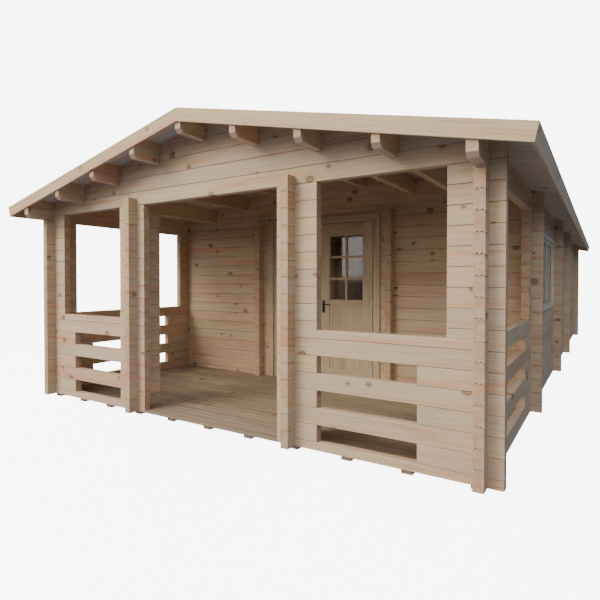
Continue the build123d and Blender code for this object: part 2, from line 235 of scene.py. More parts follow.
class Timbers:
    """A piece made of timbers, which stands for one or more nodes of the frame."""

    def __init__(self, name, material, slot, body="cabin"):
        self.name = name
        self.material = material
        self.slot = slot
        self.body = body
        self.mesh = bmesh.new()
        self.grain = self.mesh.verts.layers.float_vector.new("grain")
        self.tone = self.mesh.faces.layers.float.new("tone")
        self.cap = self.mesh.faces.layers.float.new("cap")

    def add(self, rings, place, key, centre, cuts=()):
        """Adds a timber: rings of points across it, from one end to the other."""
        chance = random.Random(key)
        tone = chance.random()
        shift = Vector((chance.uniform(0, grain_along), chance.uniform(-grain_across, grain_across),
                        chance.uniform(-grain_up, grain_up)))
        shift -= Vector((0, *centre))
        solid = bmesh.new()
        grain = solid.verts.layers.float_vector.new("grain")
        cap = solid.faces.layers.float.new("cap")
        loops = []
        for ring in rings:
            loop = []
            for point in ring:
                vert = solid.verts.new(place @ Vector(point))
                vert[grain] = Vector(point) + shift
                loop.append(vert)
            loops.append(loop)
        count = len(loops[0])
        for first, second in zip(loops, loops[1:]):
            for n in range(count):
                m = (n + 1) % count
                solid.faces.new((first[n], first[m], second[m], second[n]))
        for loop in (loops[0][::-1], loops[-1]):
            solid.faces.new(loop)[cap] = 1.0
        for point, normal in cuts:
            self.trim(solid, cap, point, normal)
        self.take(solid, grain, cap, tone)
        solid.free()

    @staticmethod
    def trim(solid, cap, point, normal):
        """Cuts away what lies on the normal's side of a plane, and closes the cut."""
        everything = solid.verts[:] + solid.edges[:] + solid.faces[:]
        cut = bmesh.ops.bisect_plane(solid, geom=everything, plane_co=point, plane_no=normal,
                                     clear_outer=True)
        edges = [e for e in cut["geom_cut"] if isinstance(e, bmesh.types.BMEdge)]
        for face in bmesh.ops.holes_fill(solid, edges=edges, sides=0)["faces"]:
            face[cap] = 0.0

    def take(self, solid, grain, cap, tone):
        """Copies a finished timber into the piece."""
        copies = {}
        for vert in solid.verts:
            copies[vert] = self.mesh.verts.new(vert.co)
            copies[vert][self.grain] = vert[grain]
        for face in solid.faces:
            copy = self.mesh.faces.new([copies[v] for v in face.verts])
            copy[self.tone] = tone
            copy[self.cap] = face[cap]

    def finish(self, *nodes):
        """Turns the timbers into one object that rides on its body."""
        bmesh.ops.recalc_face_normals(self.mesh, faces=self.mesh.faces[:])
        mesh = bpy.data.meshes.new(self.name)
        self.mesh.to_mesh(mesh)
        self.mesh.free()
        mesh.materials.append(self.material)
        piece = link_piece(self.name, mesh, self.body)
        if nodes:
            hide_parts(*nodes)


# Logs and boards
def log_outline(low, high, below, above, inset):
    """Outline across a log; below and above say whether another log meets it there."""
    left = inset
    right = log_thick - inset
    joint = joint_gap / 2 + inset * end_opening
    foot = log_groove if on_joint(low) or below else cut_bevel
    head = log_groove if on_joint(high) or above else cut_bevel
    points = [(left, low + foot), (left + foot, low + joint)]
    if below:
        for start, end in tongues:
            rise = low + tongue_height + joint + tongue_void
            points += [(start - tongue_play, low + joint), (start - tongue_play, rise),
                       (end + tongue_play, rise), (end + tongue_play, low + joint)]
    points += [(right - foot, low + joint), (right, low + foot), (right, high - head),
               (right - head, high - joint)]
    if above:
        for start, end in reversed(tongues):
            rise = high + tongue_height - joint
            points += [(end, high - joint), (end, rise), (start, rise), (start, high - joint)]
    points += [(left + head, high - joint), (left, high - head)]
    return points


def on_joint(z):
    """Whether a height lies on a half or a whole course line."""
    halves = (z - wall_base) / (course / 2)
    return abs(halves - round(halves)) < least_half


def add_log(timbers, place, key, middle, a0, a1, low, high, below=False, above=False,
            bevels=(False, False), cuts=()):
    """Log from a0 to a1 with the asked bevels at its ends; middle is the height of the whole log's core."""
    stations = [(a0, end_bevel), (a0 + end_bevel, 0.0)] if bevels[0] else [(a0, 0.0)]
    stations += [(a1 - end_bevel, 0.0), (a1, end_bevel)] if bevels[1] else [(a1, 0.0)]
    rings = [[(a, p, q) for p, q in log_outline(low, high, below, above, inset)] for a, inset in stations]
    timbers.add(rings, place, key, (log_thick / 2, middle), cuts)


def board_rings(a0, a1, p0, p1, q0, q1, bevel):
    """Board with all its edges bevelled."""
    def ring(a, inset):
        return [(a, p0 + inset, q0 + bevel), (a, p0 + bevel, q0 + inset),
                (a, p1 - bevel, q0 + inset), (a, p1 - inset, q0 + bevel),
                (a, p1 - inset, q1 - bevel), (a, p1 - bevel, q1 - inset),
                (a, p0 + bevel, q1 - inset), (a, p0 + inset, q1 - bevel)]

    shrink = bevel * end_shrink
    return [ring(a0, shrink), ring(a0 + bevel, 0.0), ring(a1 - bevel, 0.0), ring(a1, shrink)]


def add_board(timbers, place, key, a0, a1, p0, p1, q0, q1, bevel=edge_bevel, cuts=()):
    """Board from a0 to a1 along, p0 to p1 across and q0 to q1 up its place."""
    centre = ((p0 + p1) / 2, (q0 + q1) / 2)
    timbers.add(board_rings(a0, a1, p0, p1, q0, q1, bevel), place, key, centre, cuts)


def stack(low, high, phase):
    """Logs between two heights: number, bottom, top, middle of the whole log, joint below, joint above."""
    number = floor((low - level(phase)) / course + least)
    logs = []
    while level(phase + number) < high - least:
        z0 = max(low, level(phase + number))
        z1 = min(high, level(phase + number + 1))
        middle = level(phase + number + 0.5)
        logs.append((number, z0, z1, middle, z0 > low + least, z1 < high - least))
        number += 1
    return logs


def add_logs(timbers, place, wall, a0, a1, low, high, phase, bevels=(True, True), cuts=(), closed=()):
    """Stack of logs; logs numbered in closed go on in a neighbour and get no bevel at that end."""
    for number, z0, z1, middle, below, above in stack(low, high, phase):
        ends = [bevels[n] and (number, n) not in closed for n in (0, 1)]
        add_log(timbers, place, f"{wall} {number}", middle, a0, a1, z0, z1, below, above, ends, cuts)


# Materials
class Graph:
    """Small helper that builds the nodes of a material or a world."""

    def __init__(self, owner, shader, output):
        owner.use_nodes = True
        self.owner = owner
        self.tree = owner.node_tree
        self.tree.nodes.clear()
        self.shader = self.node(shader)
        self.tree.links.new(self.shader.outputs[0], self.node(output).inputs[0])

    def node(self, kind, **settings):
        made = self.tree.nodes.new(kind)
        for name, value in settings.items():
            setattr(made, name, value)
        return made

    def put(self, socket, value):
        """Links a socket, or sets a plain value on it."""
        if isinstance(value, bpy.types.NodeSocket):
            self.tree.links.new(value, socket)
        else:
            socket.default_value = value

    def math(self, operation, *values, clamp=False):
        made = self.node("ShaderNodeMath", operation=operation, use_clamp=clamp)
        for socket, value in zip(made.inputs, values):
            self.put(socket, value)
        return made.outputs[0]

    def scaled(self, vector, scale):
        made = self.node("ShaderNodeVectorMath", operation="MULTIPLY")
        self.put(made.inputs[0], vector)
        self.put(made.inputs[1], scale)
        return made.outputs[0]

    def noise(self, vector, scale, detail=2.0, roughness=0.5):
        made = self.node("ShaderNodeTexNoise")
        self.put(made.inputs["Vector"], self.scaled(vector, scale))
        self.put(made.inputs["Scale"], 1.0)
        self.put(made.inputs["Detail"], detail)
        self.put(made.inputs["Roughness"], roughness)
        return made.outputs["Fac"]

    def between(self, value, low, high, out_low=0.0, out_high=1.0):
        """Maps a range smoothly onto another."""
        made = self.node("ShaderNodeMapRange", interpolation_type="SMOOTHSTEP")
        for name, number in (("Value", value), ("From Min", low), ("From Max", high),
                             ("To Min", out_low), ("To Max", out_high)):
            self.put(made.inputs[name], number)
        return made.outputs["Result"]

    def blend(self, factor, first, second, mode="MIX"):
        made = self.node("ShaderNodeMix", data_type="RGBA", blend_type=mode)
        self.put(made.inputs["Factor"], factor)
        self.put(made.inputs["A"], first)
        self.put(made.inputs["B"], second)
        # the colour sockets come after those for numbers and vectors
        return made.outputs[2]

    def ramp(self, value, stops):
        made = self.node("ShaderNodeValToRGB")
        elements = made.color_ramp.elements
        while len(elements) < len(stops):
            elements.new(1.0)
        for element, (position, colour) in zip(elements, stops):
            element.position = position
            element.color = colour
        self.put(made.inputs["Fac"], value)
        return made.outputs["Color"]


def surface(name):
    return Graph(bpy.data.materials.new(name), "ShaderNodeBsdfPrincipled", "ShaderNodeOutputMaterial")


def colour(red, green, blue):
    """Linear colour from display values between 0 and 255."""
    return tuple(((c / 255 + 0.055) / 1.055) ** 2.4 if c > 10 else c / 255 / 12.92
                 for c in (red, green, blue)) + (1.0,)


# Knots: cells per metre along and up the grain, sizes in cells, and the draw above which a cell has one
knot_cells_along = 5.6
knot_cells_up = 7.2
knot_spread = 0.75
knot_sizes = (0.06, 0.19)
knot_ragged = 0.04
log_knots = 0.885
trim_knots = 0.86
deck_knots = 0.95
few_knots = 0.96
door_knots = 0.97

# Where a knot's core, rim and halo lie, in the knot's radii
core_range = (0.55, 1.0)
rim_middle = 0.9
rim_range = (0.0, 0.35)
halo_range = (0.6, 2.6)

# Year rings: their spacing and bends in metres, and their strength on a log's sides and ends
ring_spacing = 0.0052
ring_sharpness = 2.2
ring_bend = 0.05
ring_bend_at_knot = 0.012
ring_on_side = 0.105
ring_on_cap = 0.25

# Noise of the wood, in cells per metre along, across and up the grain
bend_noise = (0.9, 9.0, 9.0)
streak_noise = (2.6, 130.0, 130.0)
broad_noise = (0.75, 10.0, 16.0)
cloud_noise = (0.55, 3.0, 5.0)
fresh_noise = (1.1, 7.0, 9.0)
heart_noise = (20.0, 20.0, 20.0)
knot_noise = (90.0, 90.0, 90.0)

# Range of each noise over which its tint comes in
fresh_range = (0.5, 0.72)
band_range = (0.5, 0.74)
heart_range = (0.42, 0.64)
cloud_range = (0.35, 0.65)
streak_range = (0.4, 0.75)

# Tints of the wood, each with its full strength
fresh_tint, fresh_share = colour(198, 176, 128), 0.45
band_share = 0.8
heart_tint, heart_share = colour(198, 150, 110), 0.6
cloud_tint, cloud_share = colour(255, 250, 240), 0.25
ring_tint = colour(150, 108, 74)
streak_tint, streak_share = colour(166, 132, 104), 0.34
halo_tint, halo_share = colour(216, 184, 142), 0.45
core_tint, core_share = colour(142, 108, 80), 0.6
rim_tint, rim_share = colour(92, 68, 52), 0.7

# Gloss of the wood, and its relief in metres and in shares of its strength
gloss_range = (0.2, 0.8)
gloss_below = 0.06
gloss_above = 0.1
wood_specular = 0.28
relief_depth = 0.0012
relief_strength = 0.22
relief_streaks = 0.6
relief_rings = 0.4
relief_rim = 0.8

# Wear of the metal, and how uneven the panes are
wear_noise = (60.0, 60.0, 60.0)
wear_tint, wear_share = colour(96, 92, 88), 0.4
pane_noise = (3.0, 3.0, 3.0)
pane_roughness = 0.03


def wood(name, tones, band, knots=log_knots, roughness=0.62):
    """Planed softwood: year rings, streaks, warm bands and knots, in each timber's own grain."""
    g = surface(name)
    grain = g.node("ShaderNodeAttribute", attribute_name="grain").outputs["Vector"]
    tone = g.node("ShaderNodeAttribute", attribute_name="tone").outputs["Fac"]
    cap = g.node("ShaderNodeAttribute", attribute_name="cap").outputs["Fac"]
    parts = g.node("ShaderNodeSeparateXYZ")
    g.put(parts.inputs[0], grain)
    along, across, up = parts.outputs

    # knots lie on cells of their own, longer along the grain than across it
    spot = g.node("ShaderNodeCombineXYZ")
    g.put(spot.inputs[0], g.math("MULTIPLY", along, knot_cells_along))
    g.put(spot.inputs[1], g.math("MULTIPLY", up, knot_cells_up))
    cells = g.node("ShaderNodeTexVoronoi", voronoi_dimensions="2D", feature="F1")
    g.put(cells.inputs["Vector"], spot.outputs[0])
    g.put(cells.inputs["Scale"], 1.0)
    g.put(cells.inputs["Randomness"], knot_spread)
    dice = g.node("ShaderNodeSeparateColor")
    g.put(dice.inputs[0], cells.outputs["Color"])
    chosen = g.math("GREATER_THAN", dice.outputs[0], knots)
    chosen = g.math("MULTIPLY", chosen, g.math("SUBTRACT", 1.0, cap))
    size = g.between(dice.outputs[1], 0.0, 1.0, *knot_sizes)
    ragged = g.math("SUBTRACT", g.noise(grain, knot_noise, 1.0), 0.5)
    ragged = g.math("MULTIPLY", ragged, knot_ragged)
    reach = g.math("DIVIDE", g.math("ADD", cells.outputs["Distance"], ragged), size)
    off_rim = g.math("ABSOLUTE", g.math("SUBTRACT", reach, rim_middle))
    core = g.math("MULTIPLY", g.between(reach, *core_range, 1.0, 0.0), chosen)
    rim = g.math("MULTIPLY", g.between(off_rim, *rim_range, 1.0, 0.0), chosen)
    halo = g.math("MULTIPLY", g.between(reach, *halo_range, 1.0, 0.0), chosen)

    # year rings round the pith, bent by the knots
    bend = g.math("MULTIPLY", g.math("SUBTRACT", g.noise(grain, bend_noise, 2.0), 0.5), ring_bend)
    bend = g.math("ADD", bend, g.math("MULTIPLY", halo, ring_bend_at_knot))
    squares = g.math("ADD", g.math("MULTIPLY", across, across), g.math("MULTIPLY", up, up))
    turns = g.math("MULTIPLY", g.math("ADD", g.math("SQRT", squares), bend), 2 * pi / ring_spacing)
    rings = g.math("POWER", g.math("MULTIPLY_ADD", g.math("SINE", turns), 0.5, 0.5), ring_sharpness)

    # colour: the timber's own tone, then what lies over it from the broadest to the smallest
    streaks = g.noise(grain, streak_noise, 3.0, 0.6)
    broad = g.noise(grain, broad_noise, 3.0, 0.6)
    cloud = g.noise(grain, cloud_noise, 1.0)
    fresh = g.noise(grain, fresh_noise, 2.0)
    heart = g.between(g.noise(grain, heart_noise, 4.0, 0.6), *heart_range, 0.0, heart_share)
    tinted = g.blend(g.between(fresh, *fresh_range, 0.0, fresh_share), g.ramp(tone, tones), fresh_tint)
    tinted = g.blend(g.between(broad, *band_range, 0.0, band_share), tinted, band)
    tinted = g.blend(g.math("MULTIPLY", heart, cap), tinted, heart_tint)
    tinted = g.blend(g.between(cloud, *cloud_range, 0.0, cloud_share), tinted, cloud_tint, "SOFT_LIGHT")
    ring_strength = g.math("MULTIPLY_ADD", cap, ring_on_cap, ring_on_side)
    darker = g.blend(g.math("MULTIPLY", rings, ring_strength), tinted, ring_tint, "MULTIPLY")
    darker = g.blend(g.between(streaks, *streak_range, 0.0, streak_share), darker, streak_tint, "MULTIPLY")
    darker = g.blend(g.math("MULTIPLY", halo, halo_share), darker, halo_tint, "MULTIPLY")
    knotted = g.blend(g.math("MULTIPLY", core, core_share), darker, core_tint)
    knotted = g.blend(g.math("MULTIPLY", rim, rim_share), knotted, rim_tint)
    g.put(g.shader.inputs["Base Color"], knotted)
    gloss = g.between(streaks, *gloss_range, roughness - gloss_below, roughness + gloss_above)
    g.put(g.shader.inputs["Roughness"], gloss)
    g.put(g.shader.inputs["Specular IOR Level"], wood_specular)

    relief = g.math("MULTIPLY_ADD", rings, relief_rings, g.math("MULTIPLY", streaks, relief_streaks))
    relief = g.math("SUBTRACT", relief, g.math("MULTIPLY", rim, relief_rim))
    bump = g.node("ShaderNodeBump")
    g.put(bump.inputs["Strength"], relief_strength)
    g.put(bump.inputs["Distance"], relief_depth)
    g.put(bump.inputs["Height"], relief)
    g.put(g.shader.inputs["Normal"], bump.outputs[0])
    return g.owner


def glass(name):
    """Clear pane whose gloss varies a little."""
    g = surface(name)
    g.put(g.shader.inputs["Base Color"], (0.93, 0.96, 0.95, 1.0))
    g.put(g.shader.inputs["Transmission Weight"], 1.0)
    g.put(g.shader.inputs["IOR"], 1.55)
    g.put(g.shader.inputs["Specular IOR Level"], 1.0)
    place = g.node("ShaderNodeTexCoord").outputs["Object"]
    uneven = g.noise(place, pane_noise, 2.0)
    g.put(g.shader.inputs["Roughness"], g.between(uneven, 0.3, 0.7, 0.0, pane_roughness))
    return g.owner


def metal(name, tint, metallic, low, high):
    """Metal whose roughness and tint vary a little, as from handling."""
    g = surface(name)
    place = g.node("ShaderNodeTexCoord").outputs["Object"]
    worn = g.noise(place, wear_noise, 3.0, 0.6)
    rubbed = g.blend(g.between(worn, 0.35, 0.75, 0.0, wear_share), tint, wear_tint)
    g.put(g.shader.inputs["Base Color"], rubbed)
    g.put(g.shader.inputs["Metallic"], metallic)
    g.put(g.shader.inputs["Roughness"], g.between(worn, 0.3, 0.7, low, high))
    return g.owner


def tone_ramp(*steps):
    """Colours that a timber's tone is picked from, as a ramp from 0 to 1."""
    return [(position, colour(*shade)) for position, shade in steps]


warm_band = colour(211, 158, 120)
log_tones = tone_ramp((0.0, (203, 184, 158)), (0.25, (207, 184, 150)), (0.5, (209, 179, 154)),
                      (0.72, (206, 185, 147)), (0.88, (207, 177, 148)), (1.0, (206, 166, 136)))
roof_tones = tone_ramp((0.0, (202, 193, 182)), (0.5, (208, 195, 177)), (1.0, (198, 186, 172)))
trim_tones = tone_ramp((0.0, (208, 181, 153)), (0.5, (211, 184, 147)), (1.0, (205, 177, 143)))
deck_tones = tone_ramp((0.0, (154, 139, 119)), (0.5, (160, 142, 119)), (1.0, (148, 133, 112)))
joist_tones = tone_ramp((0.0, (160, 148, 134)), (1.0, (172, 156, 138)))
door_tones = tone_ramp((0.0, (198, 180, 150)), (0.5, (202, 182, 149)), (1.0, (194, 174, 143)))
window_tones = tone_ramp((0.0, (224, 208, 186)), (1.0, (216, 198, 174)))

log_wood = wood("pine_logs", log_tones, warm_band)
stub_wood = wood("pine_log_stubs", log_tones, warm_band, knots=few_knots)
timber_wood = wood("pine_roof_timbers", log_tones, warm_band, knots=few_knots)
roof_wood = wood("pine_roof_boards", roof_tones, colour(194, 170, 144), roughness=0.7)
trim_wood = wood("pine_trim", trim_tones, warm_band, knots=trim_knots)
deck_wood = wood("pine_deck", deck_tones, colour(146, 121, 97), knots=deck_knots, roughness=0.66)
joist_wood = wood("pine_joists", joist_tones, colour(140, 120, 100), roughness=0.75)
door_wood = wood("pine_joinery", door_tones, colour(190, 160, 126), knots=door_knots)
window_wood = wood("pine_windows", window_tones, colour(204, 180, 152), knots=few_knots)
glass_clear = glass("clear_glass")
handle_metal = metal("dark_handle_metal", colour(44, 40, 38), 0.8, 0.28, 0.45)
hinge_metal = metal("hinge_steel", colour(200, 180, 148), 0.3, 0.35, 0.55)


# Veranda front
def front_wall(side, mirror):
    place = mirror @ along_x(front_y)
    wall = f"front {side}"
    rails_on = {(n, 1) for n in front_low_logs if n not in front_slots}
    post = Timbers(f"front_post_{side}_logs", log_wood, "wall_logs")
    add_logs(post, place, wall, entrance_half, post_outer, wall_base, front_head, 0.5, closed=rails_on)
    post.finish(f"front_post_{side}")

    corner = Timbers(f"front_corner_{side}_logs", log_wood, "wall_logs")
    for number, z0, z1, middle, below, above in stack(wall_base, sill, 0.5):
        ends = (number in front_slots, False)
        add_log(corner, place, f"{wall} {number}", middle, front_slot_end, front_jamb, z0, z1, below, above,
                ends)
    joined = {(n, 0) for n in front_low_logs[:-1]}
    add_logs(corner, place, wall, front_jamb, end_out, wall_base, front_head, 0.5, closed=joined)
    corner.finish(f"front_corner_{side}")


def front_rails():
    rails = Timbers("front_rail_logs", log_wood, "wall_logs")
    for side, mirror in sides.items():
        for number, z0, z1, middle, *_ in stack(wall_base, sill, 0.5):
            if number in front_slots:
                continue
            joined = number - 1 not in front_slots and z0 > wall_base
            carries = number + 1 not in front_slots and z1 < sill
            add_log(rails, mirror @ along_x(front_y), f"front {side} {number}", middle, post_outer,
                    front_slot_end, z0, z1, joined, carries)
    rails.finish("front_rails")


def cross_log_stacks(where, y0, y1):
    """Short logs across the posts, or across the wall on each side of the door."""
    logs = Timbers(f"{where}_cross_log_stacks", stub_wood, "wall_logs")
    for side, mirror in sides.items():
        place = mirror @ along_y(post_log_x - log_thick / 2)
        add_logs(logs, place, f"{where} {side}", y0, y1, wall_base, level(post_log_courses), 0.0)
    logs.finish(f"{where}_cross_logs")


def gable(name, node, wall, y0, low, doorway=None):
    """Gable logs up to the roof boards; doorway is the half width and the height cut out of them."""
    logs = Timbers(name, log_wood, "wall_logs")
    for number, z0, z1, middle, below, above in stack(low, underside_ridge, 0.5):
        spans = [(-end_out, end_out, z0, (True, True))]
        if doorway and z0 < doorway[1]:
            half, head = doorway
            spans = [(-end_out, -half, z0, (True, False)), (-half, half, head, (False, False)),
                     (half, end_out, z0, (False, True))]
        for a0, a1, bottom, ends in spans:
            add_log(logs, along_x(y0), f"{wall} {number}", middle, a0, a1, bottom, z1, below, above, ends,
                    both_roof_cuts)
    logs.finish(node)


# Side walls
def side_wall(side, mirror):
    place = mirror @ along_y(side_in)
    wall = f"side {side}"
    rails_on = {(n, 1) for n in side_low_logs if n not in side_slots}
    front = Timbers(f"veranda_side_front_{side}_logs", log_wood, "wall_logs")
    add_logs(front, place, wall, front_y - log_end, side_slot_near, wall_base, sill, 0.0, closed=rails_on)
    add_logs(front, place, wall, front_y - log_end, side_near_jamb, sill, eave_base, 0.0)
    front.finish(f"veranda_side_front_{side}")

    back = Timbers(f"veranda_side_back_{side}_logs", log_wood, "wall_logs")
    rails_on = {(n, 0) for n, end in rails_on}
    add_logs(back, place, wall, side_slot_far, back_wall_y + into, wall_base, sill, 0.0, closed=rails_on)
    add_logs(back, place, wall, side_far_jamb, back_wall_y + into, sill, eave_base, 0.0)
    back.finish(f"veranda_side_back_{side}")

    bay_y0 = back_wall_y + log_thick - into
    bay_y1 = cross_walls[0] + into
    low, high = window_low, window_high
    bay = Timbers(f"window_bay_{side}_logs", log_wood, "wall_logs")
    for number, z0, z1, middle, below, above in stack(wall_base, eave_base, 0.0):
        spans = [(bay_y0, bay_y1, z0, z1)]
        if z1 > low.z and z0 < high.z:
            spans = [(bay_y0, low.y, z0, z1), (high.y, bay_y1, z0, z1)]
            if z0 < low.z:
                spans.append((low.y, high.y, z0, low.z))
            if z1 > high.z:
                spans.append((low.y, high.y, high.z, z1))
        for a0, a1, bottom, top in spans:
            add_log(bay, place, f"{wall} {number}", middle, a0, a1, bottom, top, below and bottom == z0,
                    above and top == z1)
    bay.finish(f"window_bay_{side}")

    rear = Timbers(f"rear_bays_{side}_logs", log_wood, "wall_logs")
    add_logs(rear, place, wall, cross_walls[0] + log_thick - into, rear_y + log_end, wall_base, eave_base,
             0.0, bevels=(False, True))
    rear.finish(f"rear_bays_{side}")


def side_rails():
    rails = Timbers("veranda_side_rail_logs", log_wood, "wall_logs")
    for side, mirror in sides.items():
        for number, z0, z1, middle, *_ in stack(wall_base, sill, 0.0):
            if number in side_slots:
                continue
            add_log(rails, mirror @ along_y(side_in), f"side {side} {number}", middle, side_slot_near,
                    side_slot_far, z0, z1)
    rails.finish("veranda_side_rails")


def cross_log_ends():
    logs = Timbers("cross_wall_log_ends", stub_wood, "wall_logs")
    top = underside_ridge - (side_in - log_end) * fall
    for side, mirror in sides.items():
        for n, y in enumerate(cross_walls):
            add_logs(logs, mirror @ along_x(y), f"cross {n} {side}", side_in - log_end, end_out, wall_base,
                     top, 0.5, cuts=[roof_cuts[side]])
    logs.finish("cross_log_ends")


def back_wall():
    for side, mirror in sides.items():
        wall = Timbers(f"back_wall_{side}_logs", log_wood, "wall_logs")
        add_logs(wall, mirror @ along_x(back_wall_y), f"back {side}", jamb_out, end_out, wall_base,
                 front_head, 0.5, bevels=(False, True))
        wall.finish(f"back_wall_{side}")
    gable("back_wall_gable_logs", "back_wall_gable", "back gable", back_wall_y, front_head,
          (jamb_out, frame_high.z))
    cross_log_stacks("door", back_wall_y - log_end, back_wall_y + log_thick + log_end)


# Roof
def end_cuts(bottom, y0, y1):
    """Planes that bevel the undersides of a roof timber's two ends."""
    return [((0, y0, bottom + end_cut_rise), (0, -end_cut_rise, -end_cut_run)),
            ((0, y1, bottom + end_cut_rise), (0, end_cut_rise, -end_cut_run))]


def eave_logs():
    logs = Timbers("eave_log_pairs", timber_wood, "roof_timbers")
    lifted = eave_base + eave_end_lift
    cuts = end_cuts(lifted, eave_low.y, eave_high.y)
    ends = ((eave_low.y, front_y - log_end, (True, False)),
            (front_y - log_end, rear_y + log_end, (False, False)),
            (rear_y + log_end, eave_high.y, (False, True)))
    for side, mirror in sides.items():
        for number, z0, z1, middle, below, above in stack(eave_base, eave_base + 2 * course, 0.0):
            for y0, y1, bevels in ends:
                bottom = z0 if below or not any(bevels) else lifted
                add_log(logs, mirror @ along_y(side_in), f"eave {side} {number}", middle, y0, y1, bottom, z1,
                        below, above, bevels, cuts + [roof_cuts[side]])
    logs.finish("eave_logs")


def purlins():
    timbers = Timbers("purlin_timbers", timber_wood, "roof_timbers")
    spacing = (side_in + side_out) / 2 / (purlins_each_side + 1)
    for n in range(-purlins_each_side, purlins_each_side + 1):
        x = n * spacing
        bottom = underside_ridge - abs(x) * fall - purlin_depth
        cuts = end_cuts(bottom, board_low.y, board_high.y) + both_roof_cuts
        add_board(timbers, along_y(x - purlin_width / 2), f"purlin {n}", board_low.y, board_high.y, 0.0,
                  purlin_width, bottom, bottom + purlin_depth * purlin_spare, soft_bevel, cuts)
    timbers.finish("purlins")


def ridge_cut(side, gap):
    """Plane at the ridge that keeps one slope's boards off the other's."""
    sign = 1 if side == "right" else -1
    return [((sign * gap, 0, 0), (-sign, 0, 0))]


def roof_boards(side, mirror):
    boards = Timbers(f"roof_boards_{side}_planks", roof_wood, "roof_boards")
    count = round((board_high.y - board_low.y) / roof_board_width)
    width = (board_high.y - board_low.y) / count
    for n in range(count):
        y = board_low.y + n * width
        add_board(boards, mirror @ down_slope, f"roof {side} {n}", -ridge_spare, board_run,
                  y + roof_board_gap / 2, y + width - roof_board_gap / 2, -roof_board_thick, 0.0, soft_bevel,
                  ridge_cut(side, ridge_gap))
    boards.finish(f"roof_boards_{side}")


def fascias():
    for node, y in (("front_fascia", board_low.y - fascia_thick), ("rear_fascia", board_high.y)):
        boards = Timbers(f"{node}_boards", trim_wood, "trim_boards")
        for side, mirror in sides.items():
            add_board(boards, mirror @ down_slope, f"{node} {side}", -fascia_depth, fascia_run, y,
                      y + fascia_thick, -fascia_depth, 0.0, cuts=ridge_cut(side, fascia_gap))
        boards.finish(node)
    boards = Timbers("eave_fascia_boards", trim_wood, "trim_boards")
    length = (board_high.y - board_low.y) / eave_fascia_pieces
    for side, mirror in sides.items():
        for n in range(eave_fascia_pieces):
            y = board_low.y + n * length
            add_board(boards, mirror @ along_eave, f"eave fascia {side} {n}", y + fascia_gap,
                      y + length - fascia_gap, board_run, fascia_run, -fascia_depth, 0.0)
    boards.finish("eave_fascias")


# Ground frame and floors
def joists():
    timbers = Timbers("joist_timbers", joist_wood, "joists")
    low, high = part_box("floor_joists")
    spacing = (high.x - low.x - joist_width) / (joist_count - 1)
    for n in range(joist_count):
        x = low.x + n * spacing
        add_board(timbers, along_y(x), f"joist {n}", low.y, high.y, 0.0, joist_width, low.z, high.z,
                  joist_bevel)
    timbers.finish("floor_joists")


def floor_boards(node):
    """Boards along X between the walls; the veranda's first ones lie in the entrance."""
    low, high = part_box(node)
    boards = Timbers(f"{node}_boards", deck_wood, "deck_boards")
    count = round((high.y - low.y) / deck_board_width)
    width = (high.y - low.y) / count
    for n in range(count):
        y = low.y + n * width
        half = side_in if y > low.y + log_thick or node == "room_floor" else entrance_half
        end = half - deck_board_play
        add_board(boards, along_x(0.0), f"{node} {n}", -end, end, y + deck_board_gap / 2,
                  y + width - deck_board_gap / 2, low.z, high.z)
    boards.finish(node)


# Double door
def door_surround():
    surround = Timbers("door_frame_boards", door_wood, "joinery")
    depth = frame_high.y - frame_low.y
    width = jamb_out - door_jamb_in
    for side, mirror in sides.items():
        add_board(surround, mirror @ upright(door_jamb_in, frame_low.y), f"jamb {side}", frame_low.z,
                  frame_high.z - width, 0.0, width, 0.0, depth)
    add_board(surround, along_x(frame_low.y), "door head", -jamb_out, jamb_out, 0.0, depth,
              frame_high.z - width, frame_high.z)
    add_board(surround, along_x(frame_low.y), "threshold", -door_jamb_in, door_jamb_in, 0.0, depth,
              deck_low.z, deck_high.z + threshold_height)
    surround.finish("door_frame")

    trim = Timbers("door_trim_boards", door_wood, "joinery")
    depth = trim_high.y - trim_low.y
    for side, mirror in sides.items():
        add_board(trim, mirror @ upright(trim_high.x - trim_width, trim_low.y), f"trim {side}", trim_low.z,
                  trim_high.z - trim_width, 0.0, trim_width, 0.0, depth, soft_bevel)
    add_board(trim, along_x(trim_low.y), "trim top", -trim_high.x, trim_high.x, 0.0, depth,
              trim_high.z - trim_width, trim_high.z, soft_bevel)
    trim.finish("door_trim")


